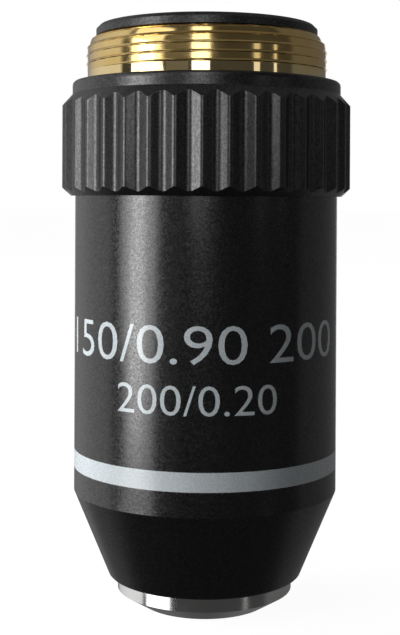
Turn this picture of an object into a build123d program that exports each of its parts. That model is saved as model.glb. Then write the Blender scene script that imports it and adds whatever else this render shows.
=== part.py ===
from build123d import *
import math
import os

# Microscope objective with a sprung front, in millimetres.
# Z is the optical axis, up towards the fastening thread, with the nose pointing down.
# z = 0 is the shoulder plane, which seats on the microscope's nosepiece.

# Clearances
slide_gap = 0.06          # radial, between the sliding lens unit and its guides
join_gap = 0.03           # radial, in screwed joints
lens_gap = 0.02           # between a lens and the metal around it
cement_gap = 0.01         # cement layer inside a doublet

# Mount with the fastening thread
thread_d = 20.27          # standard objective thread, 0.8 inch, 36 turns to the inch
thread_h = 3.0            # from the shoulder to the lead-in
lead_in = 0.83            # 45-degree lead-in at the end of the thread
shank_step = 0.235        # from the thread's radius in to the shank's
mount_wall = 1.5          # around the rear bore
floor_rise = 1.0          # floor of the rear bore, above the mount's seat
floor_drop = 0.4          # the same floor, below the mount's seat
guide_gap = 0.4           # radial, from the guide tube out to the sleeve's bore

# Ring screwed into the rear of the mount
rim_h = 0.87
rim_break = 0.3           # broken top edge of the rim
ring_wall = 0.9
ring_depth = 2.4          # spigot inside the mount
spanner_hole_d = 1.0
spanner_hole_depth = 0.6

# Collar with the shoulder flange and the fluted grip
shoulder_w = 1.115        # flange beyond the thread
flange_h = 1.08
flange_break = 0.28       # broken top edge of the flange
head_h = 0.96             # slope from the flange out to the grip
grip_h = 6.79
foot_h = 0.67             # slope from the grip in to the collar's lower edge
grip_rise = 0.75          # grip beyond the wider of the collar's two ends
collar_lip = 0.35         # lower edge beyond the sleeve
collar_web = 1.2          # web between the mount and the sleeve's spigot
mouth_gap = 0.065         # countersink at the mount, beyond the thread
flute_count = 36
flute_depth = 0.42
flute_crest = 0.28        # flat left between two flutes
flute_root = 0.25         # flat at the bottom of a flute
flute_phase = 4.4         # degrees from +X to the first flute

# Sleeve with the conical nose
sleeve_h = 24.44
sleeve_wall = 1.4
spigot_h = 2.8            # socket in the collar
spigot_room = 0.2         # left above the spigot in its socket
spigot_wall = 0.67
nose_h = 7.0
nose_break = 0.12         # broken edge at the end of the nose
nose_lip = 0.6            # flat end of the nose around the tip
seat_rise = 0.34          # seat of the lens unit above the top of the cone

# Return spring, coiled from square wire
wire_w = 0.8
coil_count = 4
coil_sides = 16           # straight lengths in one turn
spring_gap = 0.4          # radial, from the lens tube out to the wire
spring_room = 1.1         # radial, from the wire out to the sleeve's bore

# Sliding lens tube
tube_wall = 1.3
tube_engage = 4.0         # length inside the mount's guide at rest
travel = 1.5              # how far the lens unit backs off
headroom = 0.6            # left above the tube at full travel
stop_h = 1.2              # flange that rests on the sleeve's seat
stop_gap = 0.3            # radial, from the flange out to the sleeve's bore

# Steel tip with the front lens
tip_d = 14.6
tip_h = 4.0               # to the joint with the lens tube
tip_reach = 2.39          # out of the nose at rest
tip_bevel_h = 1.15
tip_bevel_w = 1.9
tip_floor = 2.6           # metal around the front lens
tip_spigot_wall = 1.4
front_lens_r = 1.25
front_lens_edge = 0.7
front_lens_sag = 1.0
front_lens_recess = 0.05  # flat face inside the tip's end face
throat_flare = 0.6        # how far the opening behind the front lens widens

# Lens cells
seat_t = 0.3              # ledge that a lens lies on
seat_w = 0.4
dome_cover = 0.2          # cell above the top of its lens

# Meniscus behind the front lens
meniscus_cell_wall = 1.94
meniscus_edge = 0.8
meniscus_hollow = 0.4
meniscus_sag = 0.8
meniscus_land = 0.3       # flat rim around the hollow
meniscus_spacer_h = 1.3
meniscus_spacer_wall = 0.9

# Two cemented doublets, each a hollow flint glass and a domed crown glass
front_cell_wall = 2.67
front_flint_edge = 1.5
front_crown_edge = 0.4
front_cement_sag = 0.4
front_crown_sag = 0.25
rear_cell_wall = 2.17
rear_flint_edge = 1.6
rear_crown_edge = 0.6
rear_cement_sag = 0.45
rear_crown_sag = 0.3

# Rest of the lens stack
cell_spacer_h = 4.2
cell_spacer_wall = 1.0
stop_disc_h = 0.8
stop_web = 3.07           # from the lens tube in to the aperture's edge
lock_ring_h = 2.0
lock_ring_wall = 1.2
lock_slot_w = 1.2
lock_slot_depth = 0.8

# Radii that follow from the sizes above
tip_r = tip_d / 2
thread_r = thread_d / 2
guide_bore_r = tip_r + slide_gap
tube_bore_r = tip_r - tube_wall
cell_r = tube_bore_r - join_gap
tip_bore_r = cell_r - tip_spigot_wall
meniscus_cell_r = tip_bore_r - join_gap
front_pocket_r = front_lens_r + lens_gap
meniscus_r = meniscus_cell_r - meniscus_cell_wall
front_doublet_r = cell_r - front_cell_wall
rear_doublet_r = cell_r - rear_cell_wall
spring_r = tip_r + spring_gap + wire_w / 2
sleeve_bore_r = tip_r + spring_gap + wire_w + spring_room
sleeve_r = sleeve_bore_r + sleeve_wall
spigot_r = sleeve_bore_r + spigot_wall
stop_r = sleeve_bore_r - stop_gap
guide_r = sleeve_bore_r - guide_gap
nose_end_r = guide_bore_r + nose_lip
nose_r = nose_end_r + nose_break
shank_r = thread_r - shank_step
rear_bore_r = shank_r - mount_wall
ring_r = rear_bore_r - ring_wall
rim_r = thread_r - lead_in
flange_r = thread_r + shoulder_w
lip_r = sleeve_r + collar_lip
grip_r = max(flange_r, lip_r) + grip_rise
collar_bore_r = shank_r + join_gap
collar_mouth_r = thread_r + mouth_gap

# Heights that follow from the sizes above
mount_top_z = thread_h + lead_in
collar_z = -(flange_h + head_h + grip_h + foot_h)
socket_z = collar_z + spigot_h
mount_seat_z = socket_z + collar_web
floor_z = mount_seat_z - floor_drop
tube_end_z = floor_z - headroom - travel
guide_end_z = tube_end_z - tube_engage
cone_z = collar_z - sleeve_h
cone_end_z = cone_z - nose_h
nose_z = cone_end_z - nose_break
seat_z = cone_z + seat_rise
stop_z = seat_z + stop_h
front_z = nose_z - tip_reach
tip_joint_z = front_z + tip_h
tip_floor_z = front_z + tip_floor
meniscus_spacer_z = tip_floor_z + seat_t + meniscus_edge + meniscus_sag + dome_cover
stack_z = meniscus_spacer_z + meniscus_spacer_h
front_crown_z = stack_z + seat_t + front_flint_edge + cement_gap
cell_spacer_z = front_crown_z + front_crown_edge + front_crown_sag + dome_cover
rear_cell_z = cell_spacer_z + cell_spacer_h
rear_crown_z = rear_cell_z + seat_t + rear_flint_edge + cement_gap
stop_disc_z = rear_crown_z + rear_crown_edge + rear_crown_sag + dome_cover
lock_ring_z = stop_disc_z + stop_disc_h


def turned(*corners):
    """Solid of revolution about Z, from the corners (radius, z) of its section."""
    return revolve(Plane.XZ * make_face(Polyline(*corners, close=True)), Axis.Z)


def plain_ring(inner_r, outer_r, low_z, high_z):
    return turned((inner_r, low_z), (outer_r, low_z), (outer_r, high_z), (inner_r, high_z))


def lens_face(centre_z, edge_r, edge_z):
    """Half section of a lens face, from the axis to its edge."""
    if centre_z == edge_z:
        return Line((0, centre_z), (edge_r, edge_z))
    return TangentArc((0, centre_z), (edge_r, edge_z), tangent=(1, 0))


def lens(radius, edge_h, front_sag, rear_sag, z, land=0):
    """Lens with the front of its edge at z. A sag is positive on a domed face."""
    hollow_r = radius - land
    front_edge = (radius, z)
    rear_edge = (radius, z + edge_h)
    outline = [
        lens_face(z - front_sag, hollow_r, z),
        Line(front_edge, rear_edge),
        lens_face(z + edge_h + rear_sag, radius, z + edge_h),
        Line((0, z + edge_h + rear_sag), (0, z - front_sag)),
    ]
    if land:
        outline.append(Line((hollow_r, z), front_edge))
    return revolve(Plane.XZ * make_face(outline), Axis.Z)


def lens_cell(outer_r, lens_r, low_z, high_z):
    """Cell with a ledge in front of its lens and an open pocket up to its top."""
    pocket_r = lens_r + lens_gap
    hole_r = lens_r - seat_w
    return turned(
        (hole_r, low_z),
        (outer_r, low_z),
        (outer_r, high_z),
        (pocket_r, high_z),
        (pocket_r, low_z + seat_t),
        (hole_r, low_z + seat_t),
    )


def thread_mount():
    """Threaded tube, with a floor across its bore and a guide for the lens tube below."""
    return turned(
        (guide_bore_r, guide_end_z),
        (guide_r, guide_end_z),
        (guide_r, mount_seat_z),
        (shank_r, mount_seat_z),
        (shank_r, 0),
        (thread_r, 0),
        (thread_r, thread_h),
        (rim_r, mount_top_z),
        (rear_bore_r, mount_top_z),
        (rear_bore_r, mount_seat_z + floor_rise),
        (tube_bore_r, mount_seat_z + floor_rise),
        (tube_bore_r, floor_z),
        (guide_bore_r, floor_z),
    )


def rear_ring():
    top_z = mount_top_z + rim_h
    low_z = mount_top_z - ring_depth
    ring = turned(
        (ring_r, low_z),
        (rear_bore_r - join_gap, low_z),
        (rear_bore_r - join_gap, mount_top_z),
        (rim_r, mount_top_z),
        (rim_r, top_z - rim_break),
        (rim_r - rim_break, top_z),
        (ring_r, top_z),
    )
    hole = Cylinder(spanner_hole_d / 2, 2 * spanner_hole_depth)
    places = PolarLocations((ring_r + rim_r) / 2, 2)
    return ring - [Pos(0, 0, top_z) * place * hole for place in places]


def flute_cutter():
    """Bar along Z with slanting sides that cuts one flute of the grip, on its +X side."""
    mouth_half = (2 * math.pi * grip_r / flute_count - flute_crest) / 2
    root_half = flute_root / 2
    root_r = grip_r - flute_depth
    slant = (mouth_half - root_half) / flute_depth
    outer_r = grip_r + flute_depth
    outer_half = mouth_half + slant * flute_depth
    section = make_face(
        Polyline(
            (root_r, -root_half),
            (outer_r, -outer_half),
            (outer_r, outer_half),
            (root_r, root_half),
            close=True,
        )
    )
    return extrude(Pos(0, 0, collar_z) * section, -collar_z)


def knurled_collar():
    collar = turned(
        (collar_mouth_r, 0),
        (flange_r - flange_break, 0),
        (flange_r, -flange_break),
        (flange_r, -flange_h),
        (grip_r, -flange_h - head_h),
        (grip_r, collar_z + foot_h),
        (lip_r, collar_z),
        (spigot_r + join_gap, collar_z),
        (spigot_r + join_gap, socket_z),
        (guide_r + join_gap, socket_z),
        (guide_r + join_gap, mount_seat_z),
        (collar_bore_r, mount_seat_z),
        (collar_bore_r, collar_bore_r - collar_mouth_r),
    )
    cutter = flute_cutter()
    places = PolarLocations(0, flute_count, start_angle=flute_phase)
    return collar - [place * cutter for place in places]


def outer_sleeve():
    spigot_z = socket_z - spigot_room
    return turned(
        (sleeve_bore_r, spigot_z),
        (spigot_r, spigot_z),
        (spigot_r, collar_z),
        (sleeve_r, collar_z),
        (sleeve_r, cone_z),
        (nose_r, cone_end_z),
        (nose_end_r, nose_z),
        (guide_bore_r, nose_z),
        (guide_bore_r, seat_z),
        (sleeve_bore_r, seat_z),
    )


def return_spring():
    """Open coil in straight lengths, from the lens tube's flange up to the mount's guide."""
    steps = coil_count * coil_sides
    low_z = stop_z + wire_w / 2
    rise = (guide_end_z - stop_z - wire_w) / steps
    wire_end = Plane.XZ * Rectangle(wire_w, wire_w)
    sections = []
    for step in range(steps + 1):
        turn = Rot(0, 0, 360 * step / coil_sides)
        sections.append(turn * Pos(spring_r, 0, low_z + rise * step) * wire_end)
    return loft(sections, ruled=True)


def inner_barrel():
    return turned(
        (tube_bore_r, tip_joint_z),
        (tip_r, tip_joint_z),
        (tip_r, seat_z),
        (stop_r, seat_z),
        (stop_r, stop_z),
        (tip_r, stop_z),
        (tip_r, tube_end_z),
        (tube_bore_r, tube_end_z),
    )


def front_lens_mount():
    """Steel tip, with a pocket for the front lens and a spigot up into the lens tube."""
    throat_z = front_z + front_lens_recess + front_lens_edge
    return turned(
        (front_pocket_r, front_z),
        (tip_r - tip_bevel_w, front_z),
        (tip_r, front_z + tip_bevel_h),
        (tip_r, tip_joint_z),
        (cell_r, tip_joint_z),
        (cell_r, stack_z),
        (tip_bore_r, stack_z),
        (tip_bore_r, tip_floor_z),
        (front_pocket_r + throat_flare, tip_floor_z),
        (front_pocket_r, throat_z),
    )


def front_lens():
    return lens(front_lens_r, front_lens_edge, 0, front_lens_sag, front_z + front_lens_recess)


def meniscus_cell():
    return lens_cell(meniscus_cell_r, meniscus_r, tip_floor_z, meniscus_spacer_z)


def meniscus_lens():
    lens_z = tip_floor_z + seat_t
    return lens(meniscus_r, meniscus_edge, -meniscus_hollow, meniscus_sag, lens_z, meniscus_land)


def meniscus_spacer():
    inner_r = meniscus_cell_r - meniscus_spacer_wall
    return plain_ring(inner_r, meniscus_cell_r, meniscus_spacer_z, stack_z)


def front_doublet_cell():
    return lens_cell(cell_r, front_doublet_r, stack_z, cell_spacer_z)


def front_doublet_flint():
    return lens(front_doublet_r, front_flint_edge, 0, -front_cement_sag, stack_z + seat_t)


def front_doublet_crown():
    return lens(front_doublet_r, front_crown_edge, front_cement_sag, front_crown_sag, front_crown_z)


def cell_spacer():
    return plain_ring(cell_r - cell_spacer_wall, cell_r, cell_spacer_z, rear_cell_z)


def rear_doublet_cell():
    return lens_cell(cell_r, rear_doublet_r, rear_cell_z, stop_disc_z)


def rear_doublet_flint():
    return lens(rear_doublet_r, rear_flint_edge, 0, -rear_cement_sag, rear_cell_z + seat_t)


def rear_doublet_crown():
    return lens(rear_doublet_r, rear_crown_edge, rear_cement_sag, rear_crown_sag, rear_crown_z)


def aperture_stop():
    return plain_ring(cell_r - stop_web, cell_r, stop_disc_z, lock_ring_z)


def cell_lock_ring():
    """Threaded ring that clamps the lens stack, with a slot across it for a spanner."""
    top_z = lock_ring_z + lock_ring_h
    ring = plain_ring(cell_r - lock_ring_wall, cell_r, lock_ring_z, top_z)
    slot = Box(2 * tip_r, lock_slot_w, 2 * lock_slot_depth)
    return ring - Pos(0, 0, top_z) * slot


pieces = [
    thread_mount,
    rear_ring,
    knurled_collar,
    outer_sleeve,
    return_spring,
    inner_barrel,
    front_lens_mount,
    front_lens,
    meniscus_cell,
    meniscus_lens,
    meniscus_spacer,
    front_doublet_cell,
    front_doublet_flint,
    front_doublet_crown,
    cell_spacer,
    rear_doublet_cell,
    rear_doublet_flint,
    rear_doublet_crown,
    aperture_stop,
    cell_lock_ring,
]

os.makedirs("parts", exist_ok=True)
for piece in pieces:
    export_step(piece(), f"parts/{piece.__name__}.step")
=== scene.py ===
import math

import bmesh
import bpy
from mathutils import Matrix, Vector


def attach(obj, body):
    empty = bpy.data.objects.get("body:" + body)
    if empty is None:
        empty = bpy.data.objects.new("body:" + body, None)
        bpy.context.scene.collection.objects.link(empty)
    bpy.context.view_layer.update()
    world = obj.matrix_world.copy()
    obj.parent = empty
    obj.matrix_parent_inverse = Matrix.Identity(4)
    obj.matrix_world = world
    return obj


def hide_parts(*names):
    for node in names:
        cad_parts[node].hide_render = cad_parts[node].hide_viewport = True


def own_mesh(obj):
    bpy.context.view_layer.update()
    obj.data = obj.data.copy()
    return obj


# Looks of the microscope objective. Sizes are in millimetres and become metres as meshes are made.
# Z is the optical axis with the shoulder at z = 0. The camera looks along +Y.

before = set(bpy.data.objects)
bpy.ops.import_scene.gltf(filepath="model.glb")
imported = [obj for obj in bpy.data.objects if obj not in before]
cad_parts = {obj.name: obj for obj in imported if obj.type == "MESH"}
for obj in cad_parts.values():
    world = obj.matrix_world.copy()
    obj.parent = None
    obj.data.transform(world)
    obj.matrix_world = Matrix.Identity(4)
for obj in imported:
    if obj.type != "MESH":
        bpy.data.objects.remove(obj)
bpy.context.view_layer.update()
scene = bpy.context.scene
scene.view_settings.view_transform = "Standard"

MM = 0.001
TURN = 2 * math.pi
FRONT = -math.pi / 2      # angle about Z that faces the camera
STEPS_ROUND = 192
HOLD = 0.03               # length of the flat kept beside a rounded corner
SHARP_DEG = 35            # edges with a wider angle are shaded sharp
NOISE_LOW = 0.3           # most of a noise texture's values lie between these two
NOISE_HIGH = 0.7
GRAIN_SCALE = 10000       # grains of the blasted finish, 0.1 mm across
LATHE_SCALE = 16000       # marks of the lathe, 0.06 mm apart

front_z = -43.45          # end face of the tip, which the objective stands on
collar_foot_z = -9.5
mount_seat_z = -5.5       # where the mount's shank rests on the collar's web
slide_r = 7.36            # bore around the sliding lens unit


# Materials

def new_material(name):
    material = bpy.data.materials.new(name)
    material.use_nodes = True
    nodes = material.node_tree.nodes
    return material, nodes, material.node_tree.links, nodes["Principled BSDF"]


def noise(nodes, links, coords, scale, detail):
    texture = nodes.new("ShaderNodeTexNoise")
    texture.inputs["Scale"].default_value = scale
    texture.inputs["Detail"].default_value = detail
    links.new(coords, texture.inputs["Vector"])
    return texture.outputs["Fac"]


def ramp(nodes, links, factor, low, high):
    """Colour that runs from low to high with a noise."""
    node = nodes.new("ShaderNodeValToRGB")
    node.color_ramp.elements[0].position = NOISE_LOW
    node.color_ramp.elements[1].position = NOISE_HIGH
    node.color_ramp.elements[0].color = (*low, 1)
    node.color_ramp.elements[1].color = (*high, 1)
    links.new(factor, node.inputs["Fac"])
    return node.outputs["Color"]


def spread(nodes, links, factor, low, high):
    """Number that runs from low to high with a noise."""
    node = nodes.new("ShaderNodeMapRange")
    node.inputs["From Min"].default_value = NOISE_LOW
    node.inputs["From Max"].default_value = NOISE_HIGH
    node.inputs["To Min"].default_value = low
    node.inputs["To Max"].default_value = high
    links.new(factor, node.inputs["Value"])
    return node.outputs["Result"]


def bump(nodes, links, shader, height, strength, depth):
    node = nodes.new("ShaderNodeBump")
    node.inputs["Strength"].default_value = strength
    node.inputs["Distance"].default_value = depth * MM
    links.new(height, node.inputs["Height"])
    links.new(node.outputs["Normal"], shader.inputs["Normal"])


def object_coords(nodes):
    return nodes.new("ShaderNodeTexCoord").outputs["Object"]


def black_satin(name, tone, rough, grain, sparkle):
    """Blasted black finish: satin, with fine grains that differ in roughness and reflection."""
    material, nodes, links, shader = new_material(name)
    shader.inputs["IOR"].default_value = 1.8
    coords = object_coords(nodes)
    patches = noise(nodes, links, coords, 300, 3)
    dark = tuple(0.75 * t for t in tone)
    light = tuple(1.25 * t for t in tone)
    links.new(ramp(nodes, links, patches, dark, light), shader.inputs["Base Color"])
    specks = nodes.new("ShaderNodeTexVoronoi")
    specks.inputs["Scale"].default_value = GRAIN_SCALE
    links.new(coords, specks.inputs["Vector"])
    parts = nodes.new("ShaderNodeSeparateColor")
    links.new(specks.outputs["Color"], parts.inputs["Color"])
    roughness = spread(nodes, links, parts.outputs["Red"], rough - grain, rough + grain)
    links.new(roughness, shader.inputs["Roughness"])
    links.new(spread(nodes, links, parts.outputs["Green"], 0, sparkle), shader.inputs["Metallic"])
    return material


def turned_metal(name, low, high, smooth, rough, marks):
    """Bare metal off the lathe: fine marks run around the axis, on sides and end faces alike."""
    material, nodes, links, shader = new_material(name)
    shader.inputs["Metallic"].default_value = 1.0
    coords = object_coords(nodes)
    split = nodes.new("ShaderNodeSeparateXYZ")
    links.new(coords, split.inputs["Vector"])
    flat = nodes.new("ShaderNodeCombineXYZ")
    links.new(split.outputs["X"], flat.inputs["X"])
    links.new(split.outputs["Y"], flat.inputs["Y"])
    radius = nodes.new("ShaderNodeVectorMath")
    radius.operation = "LENGTH"
    links.new(flat.outputs["Vector"], radius.inputs[0])
    along = nodes.new("ShaderNodeMath")
    along.operation = "ADD"
    links.new(split.outputs["Z"], along.inputs[0])
    links.new(radius.outputs["Value"], along.inputs[1])
    rings = nodes.new("ShaderNodeTexNoise")
    rings.noise_dimensions = "1D"
    rings.inputs["Scale"].default_value = LATHE_SCALE
    rings.inputs["Detail"].default_value = 3
    links.new(along.outputs["Value"], rings.inputs["W"])
    patches = noise(nodes, links, coords, 450, 4)
    links.new(ramp(nodes, links, patches, low, high), shader.inputs["Base Color"])
    links.new(spread(nodes, links, patches, smooth, rough), shader.inputs["Roughness"])
    bump(nodes, links, shader, rings.outputs["Fac"], marks, 0.004)
    return material


def paint(name, low, high):
    """Thick glossy paint with a slight grain."""
    material, nodes, links, shader = new_material(name)
    coords = object_coords(nodes)
    patches = noise(nodes, links, coords, 900, 4)
    links.new(ramp(nodes, links, patches, low, high), shader.inputs["Base Color"])
    grains = noise(nodes, links, coords, 7000, 2)
    shader.inputs["IOR"].default_value = 1.9
    links.new(spread(nodes, links, grains, 0.24, 0.30), shader.inputs["Roughness"])
    bump(nodes, links, shader, grains, 0.05, 0.01)
    return material


def coated_glass(name, tint, shade):
    """Clear glass with a faint coloured coating."""
    material, nodes, links, shader = new_material(name)
    shader.inputs["Transmission Weight"].default_value = 1.0
    shader.inputs["IOR"].default_value = 1.52
    shader.inputs["Coat Weight"].default_value = 0.25
    shader.inputs["Coat Tint"].default_value = (*tint, 1)
    patches = noise(nodes, links, object_coords(nodes), 250, 2)
    clear = (0.98, 0.98, 0.98)
    links.new(ramp(nodes, links, patches, shade, clear), shader.inputs["Base Color"])
    links.new(spread(nodes, links, patches, 0.0, 0.02), shader.inputs["Roughness"])
    return material


barrel_black = black_satin("barrel_black", (0.0018, 0.0021, 0.0021), 0.23, 0.05, 0.30)
grip_black = black_satin("grip_black", (0.0024, 0.0028, 0.0028), 0.31, 0.03, 0.40)
rim_black = black_satin("rim_black", (0.0024, 0.0028, 0.0028), 0.38, 0.03, 0.50)
inner_black = black_satin("inner_black", (0.010, 0.009, 0.008), 0.55, 0.05, 0.15)
# Two copies of one brass. The thread's copy is rougher, and its colour is darker and more
# saturated: painted shade for the light that bounces in the thread's grooves. The plain band's
# bright_brass is polished and lighter.
brass = turned_metal("brass", (0.70, 0.49, 0.18), (0.80, 0.59, 0.26), 0.08, 0.16, 0.10)
bright_brass = turned_metal(
    "bright_brass", (0.78, 0.61, 0.31), (0.86, 0.69, 0.37), 0.03, 0.07, 0.04
)
steel = turned_metal("steel", (0.58, 0.58, 0.57), (0.68, 0.68, 0.67), 0.12, 0.20, 0.16)
spring_steel = turned_metal(
    "spring_steel", (0.30, 0.30, 0.31), (0.42, 0.42, 0.43), 0.25, 0.38, 0.10
)
pale_paint = paint("pale_paint", (0.80, 0.875, 0.915), (0.84, 0.915, 0.955))
glass = coated_glass("glass", (0.85, 0.72, 0.95), (0.90, 0.94, 0.96))


# Meshes

def add_piece(name, points, faces, materials, body, face_materials=None):
    mesh = bpy.data.meshes.new(name)
    mesh.from_pydata([Vector(p) * MM for p in points], [], faces)
    for material in materials:
        mesh.materials.append(material)
    if face_materials:
        mesh.polygons.foreach_set("material_index", face_materials)
    mesh.polygons.foreach_set("use_smooth", [True] * len(mesh.polygons))
    mesh.update()
    mesh.set_sharp_from_angle(angle=math.radians(SHARP_DEG))
    piece = bpy.data.objects.new(name, mesh)
    scene.collection.objects.link(piece)
    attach(piece, body)
    return piece


def rounded(corners, steps):
    """Closed section (radius, z) with rounded corners. Each corner is (radius, z, rounding)."""
    points = []
    for i, (r, z, rounding) in enumerate(corners):
        here = Vector((r, z))
        if not rounding:
            points.append((r, z))
            continue
        before = Vector(corners[i - 1][:2]) - here
        after = Vector(corners[(i + 1) % len(corners)][:2]) - here
        before.normalize()
        after.normalize()
        cut = rounding / math.tan(before.angle(after) / 2)
        start = here + before * cut
        end = here + after * cut
        points.append(tuple(start + before * HOLD))
        for s in range(steps + 1):
            t = s / steps
            points.append(tuple(start * (1 - t) ** 2 + here * (2 * t * (1 - t)) + end * t**2))
        points.append(tuple(end + after * HOLD))
    return points


def ring_faces(rows, columns):
    """Quads of a closed section (rows) turned right round (columns), with their outsides out."""
    faces = []
    for i in range(rows):
        for j in range(columns):
            a = i * columns + j
            b = i * columns + (j + 1) % columns
            c = ((i + 1) % rows) * columns + (j + 1) % columns
            d = ((i + 1) % rows) * columns + j
            faces.append((a, b, c, d))
    return faces


def on_axis(radius, angle, z):
    return (radius * math.cos(angle), radius * math.sin(angle), z)


angles_round = [TURN * j / STEPS_ROUND for j in range(STEPS_ROUND)]


def turned(section):
    """Points of a section (radius, z) turned about Z. A closed section runs up its outside."""
    return [on_axis(r, angle, z) for r, z in section for angle in angles_round]


def painted_row(row, faces):
    """Material index of each face: 1 in one row of a turned section, and 0 elsewhere."""
    return [1 if i // STEPS_ROUND == row else 0 for i in range(len(faces))]


# Black barrel with the pale band

sleeve_r = 11.0
sleeve_bore_r = 9.6
spigot_r = 10.27          # upper end, in the collar's socket
spigot_top = -6.9
seat_z = -33.60           # seat of the lens unit
cone_top = -33.94
nose_foot = -41.06
nose_break_z = -40.94     # broken edge at the end of the nose
nose_r = 8.08
nose_break_r = 7.96
band_top = -30.46
band_foot = -31.97
sleeve_corners = [
    (slide_r, nose_foot, 0),
    (nose_break_r, nose_foot, 0.03),
    (nose_r, nose_break_z, 0.05),
    (sleeve_r, cone_top, 0.15),
    (sleeve_r, band_foot, 0),
    (sleeve_r, band_top, 0),
    (sleeve_r, collar_foot_z, 0),
    (spigot_r, collar_foot_z, 0),
    (spigot_r, spigot_top, 0),
    (sleeve_bore_r, spigot_top, 0),
    (sleeve_bore_r, seat_z, 0),
    (slide_r, seat_z, 0),
]
sleeve_section = rounded(sleeve_corners, 4)
sleeve_faces = ring_faces(len(sleeve_section), STEPS_ROUND)
sleeve = add_piece(
    "barrel_sleeve",
    turned(sleeve_section),
    sleeve_faces,
    [barrel_black, pale_paint],
    "housing",
    painted_row(sleeve_section.index((sleeve_r, band_foot)), sleeve_faces),
)
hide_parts("outer_sleeve")


# Collar with the fluted grip

flute_count = 36
flute_start = math.radians(3.6)     # middle of the first flute
flute_steps = 8
grip_r = 12.1
root_round = 0.8
crest_round = 0.5
root_r = 11.574           # where a flute's sides would meet without the rounding
crest_peak_r = 12.16      # where the sides of two flutes would meet without it
flange_r = 11.25
flange_foot_z = -1.08
head_h = 0.96             # slope from the flange out to the grip
grip_foot_z = -8.83
collar_foot_r = 11.35
foot_h = 0.67             # slope from the grip in to the collar's foot
socket_r = 10.30          # socket for the barrel's spigot
socket_top = -6.7
web_r = 9.23              # bore of the web between the mount and the spigot
mount_bore_r = 9.93
mouth_r = 10.20           # countersink at the mount
mouth_foot_z = -0.27


def flute_columns():
    """(angle, grip radius) right round the collar, with the flutes' edges rounded."""
    pitch = TURN * grip_r / flute_count
    corners = [
        (-pitch / 2, crest_peak_r, 0),
        (0, root_r, root_round),
        (pitch / 2, crest_peak_r, crest_round),
        (pitch, root_r, 0),
    ]
    outline = rounded(corners, flute_steps)[1:-1]
    columns = []
    for k in range(flute_count):
        middle = flute_start + TURN * k / flute_count
        columns += [(middle + along / grip_r, r) for along, r in outline]
    return columns


def collar_section(r):
    """Section of the collar where the grip's radius is r."""
    slope_out = head_h / (grip_r - flange_r)
    slope_in = foot_h / (grip_r - collar_foot_r)
    corners = [
        (socket_r, collar_foot_z, 0),
        (collar_foot_r, collar_foot_z, 0.06),
        (r, grip_foot_z - (grip_r - r) * slope_in, 0.07),
        (r, flange_foot_z - (r - flange_r) * slope_out, 0.07),
        (flange_r, flange_foot_z, 0.04),
        (flange_r, 0, 0.36),
        (mouth_r, 0, 0),
        (mount_bore_r, mouth_foot_z, 0),
        (mount_bore_r, mount_seat_z, 0),
        (web_r, mount_seat_z, 0),
        (web_r, socket_top, 0),
        (socket_r, socket_top, 0),
    ]
    return rounded(corners, 3)


grip_columns = flute_columns()
grip_sections = [collar_section(r) for _, r in grip_columns]
collar_points = [
    on_axis(section[i][0], angle, section[i][1])
    for i in range(len(grip_sections[0]))
    for (angle, _), section in zip(grip_columns, grip_sections)
]
collar = add_piece(
    "grip_collar",
    collar_points,
    ring_faces(len(grip_sections[0]), len(grip_columns)),
    [grip_black],
    "housing",
)
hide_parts("knurled_collar")


# Brass mount with its thread

thread_pitch = 25.4 / 36
thread_rise = 0.10        # narrow ridges of the thread above the bare metal between them
ridge_above = 0.26        # reach of a ridge's upper side, in turns
ridge_below = 0.07        # and of its underside
step_half = 0.16          # half a step of the lead-in, in turns
step_flat = 0.55          # share of the lead-in's slope that is left between its steps
plain_r = 10.03
crest_r = 10.13
plain_top = 0.80          # plain band between the shoulder and the thread
run_out_h = 0.08          # height in which the thread starts above it
mount_top = 3.83
crest_z = 2.96            # a ridge's height where it faces the camera
lead_in_foot = 2.35       # where the thread starts to curve in
lead_in_bow = 1.8         # radius of that curve
thread_rows = 170
spring_top = -12.0        # also the end of the mount's guide tube
guide_r = 9.2
shank_r = 9.9
shoulder_r = 10.0         # lower edge of the plain band, which is broken
shoulder_break = 0.03     # by this height
hold_h = 0.02             # distance of the row that keeps its shading even
bore_r = 8.4
bore_foot = -4.5
throat_r = 6.0
throat_foot = -5.9


def ridge(from_ridge):
    """Height of the thread, 1 on a ridge and 0 beside it, by turns from the nearest ridge."""
    reach = ridge_above if from_ridge > 0 else ridge_below
    t = min(abs(from_ridge) / reach, 1)
    return 0.5 + 0.5 * math.cos(math.pi * t)


def stepped(from_ridge):
    """Turns from the nearest ridge, moved so that the lead-in steps in at each ridge."""
    steep = (0.5 - (0.5 - step_half) * step_flat) / step_half
    t = abs(from_ridge)
    moved = min(t, step_half) * steep + max(t - step_half, 0) * step_flat
    return math.copysign(moved, from_ridge)


def thread_radius(angle, z):
    turns = (z - crest_z) / thread_pitch - (angle - FRONT) / TURN
    from_ridge = turns - round(turns)
    run_out = min(max((z - plain_top) / run_out_h, 0), 1)
    along = z + (stepped(from_ridge) - from_ridge) * thread_pitch - lead_in_foot
    lead_in = crest_r - lead_in_bow + math.sqrt(lead_in_bow**2 - max(along, 0) ** 2)
    threaded = lead_in - thread_rise * (1 - ridge(from_ridge))
    return plain_r + (threaded - plain_r) * run_out


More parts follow.
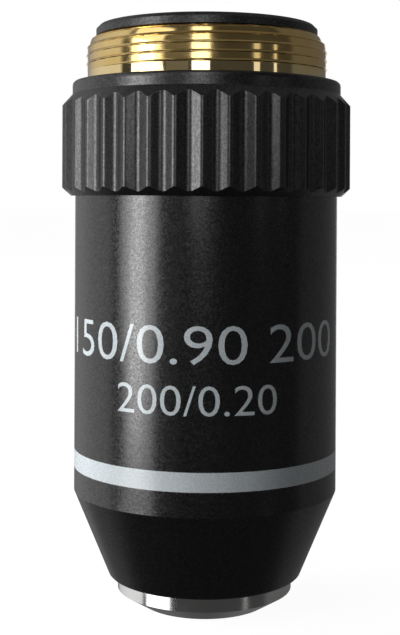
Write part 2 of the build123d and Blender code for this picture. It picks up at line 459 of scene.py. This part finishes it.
below = [
    (slide_r, spring_top),
    (guide_r, spring_top),
    (guide_r, mount_seat_z),
    (shank_r, mount_seat_z),
    (shank_r, 0.0),
    (shoulder_r, 0.0),
]
plain_band = [
    (plain_r, shoulder_break),
    (plain_r, plain_top - hold_h),
    (plain_r, plain_top),
]
above = [
    (bore_r, mount_top),
    (bore_r, bore_foot),
    (throat_r, bore_foot),
    (throat_r, throat_foot),
    (slide_r, throat_foot),
]
mount_points = turned(below + plain_band)
for k in range(1, thread_rows + 1):
    z = plain_top + (mount_top - plain_top) * k / thread_rows
    mount_points += [on_axis(thread_radius(angle, z), angle, z) for angle in angles_round]
mount_points += turned(above)
mount_faces = ring_faces(len(mount_points) // STEPS_ROUND, STEPS_ROUND)
mount = add_piece(
    "threaded_mount",
    mount_points,
    mount_faces,
    [brass, bright_brass],
    "housing",
    painted_row(len(below), mount_faces),
)
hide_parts("thread_mount")


# Return spring, inside the barrel

spring_foot = -32.4
coil_r = 8.1
wire_r = 0.4
coils = 4
coil_steps = 48           # in one turn
wire_sides = 10
wire_steps = coils * coil_steps
spring_points = []
for k in range(wire_steps + 1):
    share = k / wire_steps
    centre_z = spring_foot + wire_r + (spring_top - spring_foot - 2 * wire_r) * share
    angle = TURN * coils * share
    for s in range(wire_sides):
        around = TURN * s / wire_sides
        wire_z = centre_z + wire_r * math.sin(around)
        spring_points.append(on_axis(coil_r + wire_r * math.cos(around), angle, wire_z))
spring_faces = [tuple(range(wire_sides))]
for k in range(wire_steps):
    for s in range(wire_sides):
        a = k * wire_sides + s
        b = k * wire_sides + (s + 1) % wire_sides
        spring_faces.append((a, a + wire_sides, b + wire_sides, b))
last = wire_steps * wire_sides
spring_faces.append(tuple(range(last, last + wire_sides))[::-1])
spring = add_piece(
    "spring_coil", spring_points, spring_faces, [spring_steel], "housing"
)
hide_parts("return_spring")
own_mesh(spring)


# Plain numbers around the barrel

marking_r = 11.012        # outer face of the paint
marking_back_r = 10.98    # its back, just inside the barrel's surface
marking_slices = 110      # upright cuts, so that the numbers bend around the barrel


def marking(name, words, cap_height, foot_z, start_deg, end_deg):
    """Numbers wrapped on the barrel, from one angle to the other as the camera sees them."""
    curve = bpy.data.curves.new(name, "FONT")
    curve.body = words
    curve.offset = -0.005     # thinner strokes
    curve.extrude = 0.02      # only tells the front from the back
    curve.resolution_u = 4
    flat = bpy.data.objects.new(name + "_flat", curve)
    scene.collection.objects.link(flat)
    bpy.context.view_layer.update()
    evaluated = flat.evaluated_get(bpy.context.evaluated_depsgraph_get())
    mesh = bpy.data.meshes.new_from_object(evaluated)
    bpy.data.objects.remove(flat)
    shape = bmesh.new()
    shape.from_mesh(mesh)
    bmesh.ops.remove_doubles(shape, verts=shape.verts[:], dist=0.00001)
    low_x = min(v.co.x for v in shape.verts)
    high_x = max(v.co.x for v in shape.verts)
    low_y = min(v.co.y for v in shape.verts)
    high_y = max(v.co.y for v in shape.verts)
    for k in range(1, marking_slices):
        bmesh.ops.bisect_plane(
            shape,
            geom=shape.verts[:] + shape.edges[:] + shape.faces[:],
            plane_co=(low_x + (high_x - low_x) * k / marking_slices, 0, 0),
            plane_no=(1, 0, 0),
        )
    bmesh.ops.triangulate(shape, faces=shape.faces[:])
    points = []
    for v in shape.verts:
        share = (v.co.x - low_x) / (high_x - low_x)
        angle = FRONT + math.radians(start_deg + (end_deg - start_deg) * share)
        height = foot_z + cap_height * (v.co.y - low_y) / (high_y - low_y)
        points.append(on_axis(marking_r if v.co.z > 0 else marking_back_r, angle, height))
    shape.verts.index_update()
    faces = [tuple(v.index for v in f.verts) for f in shape.faces]
    shape.free()
    add_piece(name, points, faces, [pale_paint], "housing")


marking("marking_upper", "150/0.90 200", 2.96, -22.31, -73, 66)
marking("marking_lower", "200/0.20", 2.3, -26.2, -38, 30)


# Materials of the CAD pieces that are shown as they are

finishes = {
    "rear_ring": rim_black,
    "inner_barrel": inner_black,
    "front_lens_mount": steel,
    "front_lens": glass,
    "meniscus_cell": inner_black,
    "meniscus_lens": glass,
    "meniscus_spacer": inner_black,
    "front_doublet_cell": inner_black,
    "front_doublet_flint": glass,
    "front_doublet_crown": glass,
    "cell_spacer": inner_black,
    "rear_doublet_cell": inner_black,
    "rear_doublet_flint": glass,
    "rear_doublet_crown": glass,
    "aperture_stop": inner_black,
    "cell_lock_ring": inner_black,
}
for node, material in finishes.items():
    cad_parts[node].data.materials.clear()
    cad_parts[node].data.materials.append(material)


# Floor, world and lights

def floor_material():
    """White to the camera, with the object's shadow, and plain grey to everything else."""
    material = bpy.data.materials.new("floor")
    material.use_nodes = True
    nodes = material.node_tree.nodes
    links = material.node_tree.links
    nodes.clear()
    rays = nodes.new("ShaderNodeLightPath")
    matte = nodes.new("ShaderNodeBsdfDiffuse")
    matte.inputs["Color"].default_value = (0.20, 0.20, 0.20, 1)
    glow = nodes.new("ShaderNodeEmission")
    glow.inputs["Strength"].default_value = 0.95
    dark = nodes.new("ShaderNodeEmission")
    dark.inputs["Strength"].default_value = 0.0
    seen = nodes.new("ShaderNodeMixShader")
    both = nodes.new("ShaderNodeAddShader")
    output = nodes.new("ShaderNodeOutputMaterial")
    links.new(rays.outputs["Is Camera Ray"], seen.inputs["Fac"])
    links.new(dark.outputs["Emission"], seen.inputs[1])
    links.new(glow.outputs["Emission"], seen.inputs[2])
    links.new(seen.outputs["Shader"], both.inputs[0])
    links.new(matte.outputs["BSDF"], both.inputs[1])
    links.new(both.outputs["Shader"], output.inputs["Surface"])
    return material


def add_floor():
    """Floor just clear of the tip. Lamps below the horizon shine through it onto the object."""
    size = 6.0                # metres
    gap = 0.02
    mesh = bpy.data.meshes.new("floor")
    corners = [(-size, -size, 0), (size, -size, 0), (size, size, 0), (-size, size, 0)]
    mesh.from_pydata(corners, [], [(0, 1, 2, 3)])
    mesh.materials.append(floor_material())
    floor = bpy.data.objects.new("floor", mesh)
    floor.location.z = (front_z - gap) * MM
    floor.visible_glossy = False
    floor.visible_shadow = False
    scene.collection.objects.link(floor)


def add_world():
    """White background, also in glass and, straight behind the object, in reflections. The rest
    of the room is bright on the left, with a dim front, ceiling and floor."""
    white = 1.0
    left_level = 0.8
    low_left_level = 0.25
    right_level = 0.14
    front_level = 0.06
    floor_level = 0.05
    ceiling_level = 0.18
    world = bpy.data.worlds.new("studio")
    world.use_nodes = True
    nodes = world.node_tree.nodes
    links = world.node_tree.links
    back = nodes["Background"]
    back.inputs["Color"].default_value = (1, 1, 1, 1)
    coords = nodes.new("ShaderNodeTexCoord")
    split = nodes.new("ShaderNodeSeparateXYZ")
    links.new(coords.outputs["Generated"], split.inputs["Vector"])

    def fade(axis, start, end, low=0.0, high=1.0):
        """Node that runs from low to high along one axis of the direction."""
        node = nodes.new("ShaderNodeMapRange")
        node.interpolation_type = "SMOOTHSTEP"
        node.inputs["From Min"].default_value = start
        node.inputs["From Max"].default_value = end
        node.inputs["To Min"].default_value = low
        node.inputs["To Max"].default_value = high
        links.new(split.outputs[axis], node.inputs["Value"])
        return node

    def blend(factor, first, second):
        """Mix of two levels, each a number or an output."""
        node = nodes.new("ShaderNodeMix")
        links.new(factor, node.inputs["Factor"])
        for socket, level in (("A", first), ("B", second)):
            if isinstance(level, float):
                node.inputs[socket].default_value = level
            else:
                links.new(level, node.inputs[socket])
        return node.outputs["Result"]

    def combine(operation, first, second):
        node = nodes.new("ShaderNodeMath")
        node.operation = operation
        links.new(first, node.inputs[0])
        links.new(second, node.inputs[1])
        return node.outputs["Value"]

    left = fade("Z", -0.52, -0.38, low_left_level, left_level)
    sides = fade("X", -1.0, -0.1, left_level, right_level)
    links.new(left.outputs["Result"], sides.inputs["To Min"])
    past_front = fade("Y", -0.09, 0.0).outputs["Result"]
    around = blend(past_front, front_level, sides.outputs["Result"])
    past_floor = fade("Z", -0.74, -0.62).outputs["Result"]
    above_floor = blend(past_floor, floor_level, around)
    past_walls = fade("Z", 0.75, 0.95).outputs["Result"]
    level = blend(past_walls, above_floor, ceiling_level)
    rays = nodes.new("ShaderNodeLightPath")
    behind = fade("Y", 0.93, 0.98).outputs["Result"]
    mirrored = combine("MULTIPLY", rays.outputs["Is Glossy Ray"], behind)
    through = combine(
        "MAXIMUM", rays.outputs["Is Camera Ray"], rays.outputs["Is Transmission Ray"]
    )
    shown = combine("MAXIMUM", mirrored, through)
    links.new(blend(shown, level, white), back.inputs["Strength"])
    scene.world = world


lamp_distance = 0.5                   # metres, from the point that the lamps face
lamp_aim = Vector((0, 0, -0.012))


def add_light(
    name, azimuth, elevation, wide, tall, radiance, roll=0, diffuse=True, glossy=True
):
    """Area light facing the object. Its place and size are in degrees as the object sees them,
    with the azimuth from the camera's side, positive to the right."""
    light = bpy.data.lights.new(name, "AREA")
    light.shape = "RECTANGLE"
    light.size = 2 * lamp_distance * math.tan(math.radians(wide) / 2)
    light.size_y = 2 * lamp_distance * math.tan(math.radians(tall) / 2)
    light.energy = radiance * math.pi * light.size * light.size_y
    lamp = bpy.data.objects.new(name, light)
    a = math.radians(azimuth)
    e = math.radians(elevation)
    out = Vector((math.sin(a) * math.cos(e), -math.cos(a) * math.cos(e), math.sin(e)))
    turn = out.to_track_quat("Z", "Y").to_matrix().to_4x4()
    spin = Matrix.Rotation(math.radians(roll), 4, "Z")
    lamp.matrix_world = Matrix.Translation(lamp_aim + out * lamp_distance) @ turn @ spin
    lamp.visible_camera = False
    lamp.visible_diffuse = diffuse
    lamp.visible_glossy = glossy
    scene.collection.objects.link(lamp)


add_floor()
add_world()
add_light("window", -58.5, 1, 34, 24, 2.7, roll=-18)
add_light("window_core", -59, 0, 14, 26, 4.0, roll=-10)
add_light("window_foot", -67, -11, 12, 8, 1.6)
add_light("window_fill", -58, 20, 34, 40, 1.7, glossy=False)
add_light("left_fill", -105, 5, 50, 50, 2.3, glossy=False)
add_light("window_edge", -29, 3, 20, 36, 0.10, roll=-18, diffuse=False)
add_light("window_top", -58, 29, 34, 34, 1.55, diffuse=False)
add_light("tip_window", -63, -22, 33, 8, 2.6, diffuse=False)
add_light("front_lamp", -5.5, 9.5, 16, 12, 3.3, diffuse=False)
add_light("lamp_top", -5.5, 33, 15, 35, 2.5, diffuse=False)
add_light("right_strip", 47, 8, 6, 10, 0.9, diffuse=False)
add_light("thin_strip", 66.5, 8, 3, 10, 1.0, diffuse=False)
add_light("tip_strip", 55, -23, 5, 6, 0.5, diffuse=False)
add_light("floor_glow", -120, -23, 60, 7, 0.3, diffuse=False)


# Camera

def add_camera():
    photo_w = 400
    photo_h = 635
    focal_px = 1217
    centre_x = 206.1          # where the lens's axis meets the photo
    centre_y = 211.57
    sensor = 36
    tilt_deg = 0.438          # down
    roll_deg = 0.277
    place = (0, -0.10279, -0.0100)
    camera = bpy.data.cameras.new("camera")
    camera.sensor_width = sensor
    camera.lens = sensor * focal_px / photo_h
    camera.shift_x = (photo_w / 2 - centre_x) / photo_h
    camera.shift_y = (centre_y - photo_h / 2) / photo_h
    camera.clip_start = 0.005
    camera.clip_end = 50
    holder = bpy.data.objects.new("camera", camera)
    tilt = Matrix.Rotation(math.radians(90 - tilt_deg), 4, "X")
    roll = Matrix.Rotation(math.radians(roll_deg), 4, "Z")
    holder.matrix_world = Matrix.Translation(place) @ tilt @ roll
    scene.collection.objects.link(holder)
    scene.camera = holder


add_camera()
